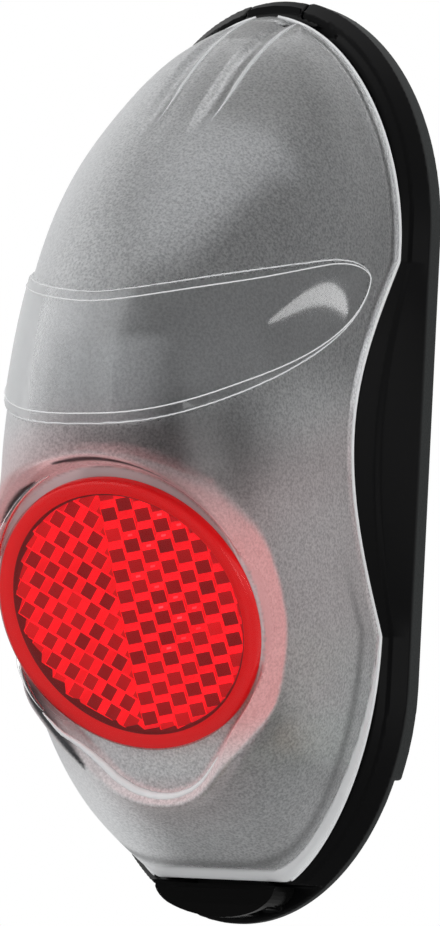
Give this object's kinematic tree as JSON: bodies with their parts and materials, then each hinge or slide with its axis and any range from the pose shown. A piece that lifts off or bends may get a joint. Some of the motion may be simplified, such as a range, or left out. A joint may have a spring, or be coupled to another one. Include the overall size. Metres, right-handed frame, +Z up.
{
  "type": "bicycle rear light",
  "caption": "Oval mudguard rear light for a bicycle: black housing, clear frosted dome lens with a smooth band, round red prism reflector, swing-up lens, latch tongue and push switch.",
  "frame": {"origin": "on the mounting bolt's axis at the back of the rubber pad, where the light meets the mudguard", "axes": "+X right seen from the front of the light, -Y the way the light shines, +Y along the bolt into the mudguard, +Z up"},
  "size_m": [0.039, 0.062, 0.1003],
  "materials": {
    "black_plastic": "satin moulded black",
    "black_rubber": "matt",
    "bolt_steel": "zinc plated",
    "grey_plastic": "moulded dark grey",
    "pale_plastic": "moulded light grey",
    "cell_wrap": "plain wrap",
    "contact_metal": "nickel plated",
    "board_green": "coated board",
    "lamp": "lamp package, unlit",
    "chip_black": "moulded",
    "parts_tan": "small parts",
    "clear_guide": "clear polished plastic",
    "lens_clear": "clear plastic, frosted with a smooth band",
    "reflector_red": "red prism reflector",
    "backing_white": "plain"
  },
  "bodies": {
    "housing": {"housing_base": "black_plastic", "mudguard_pad": "black_rubber", "mounting_bolt": "bolt_steel", "battery_carrier": "grey_plastic", "battery_cover": "pale_plastic", "battery_left": "cell_wrap", "battery_right": "cell_wrap", "contact_top": "contact_metal", "contact_bottom": "contact_metal", "carrier_screws": "bolt_steel", "circuit_board": "board_green", "main_led": "lamp", "driver_chip": "chip_black", "board_parts": "parts_tan", "tact_switch": "grey_plastic", "board_screws": "bolt_steel", "light_guide": "clear_guide", "guide_bracket": "pale_plastic"},
    "lens_cover": {"lens": "lens_clear", "hinge_lug": "black_plastic", "reflector": "reflector_red", "reflector_backing": "backing_white"},
    "latch": {"latch_tongue": "black_plastic"},
    "button": {"switch_button": "grey_plastic"}
  },
  "joints": [
    {"name": "lens_swing", "type": "hinge", "parent": "housing", "child": "lens_cover", "pos_m": [0, -0.0084, 0.0569], "axis": [-1, 0, 0], "range_deg": [0, 70]},
    {"name": "latch_press", "type": "hinge", "parent": "housing", "child": "latch", "pos_m": [0, -0.0117, -0.0383], "axis": [1, 0, 0], "range_deg": [0, 6], "stiffness_Nm_per_rad": 0.05},
    {"name": "switch_push", "type": "slide", "parent": "housing", "child": "button", "axis": [0, 0, 1], "range_m": [0, 0.001], "stiffness_N_per_m": 800}
  ]
}
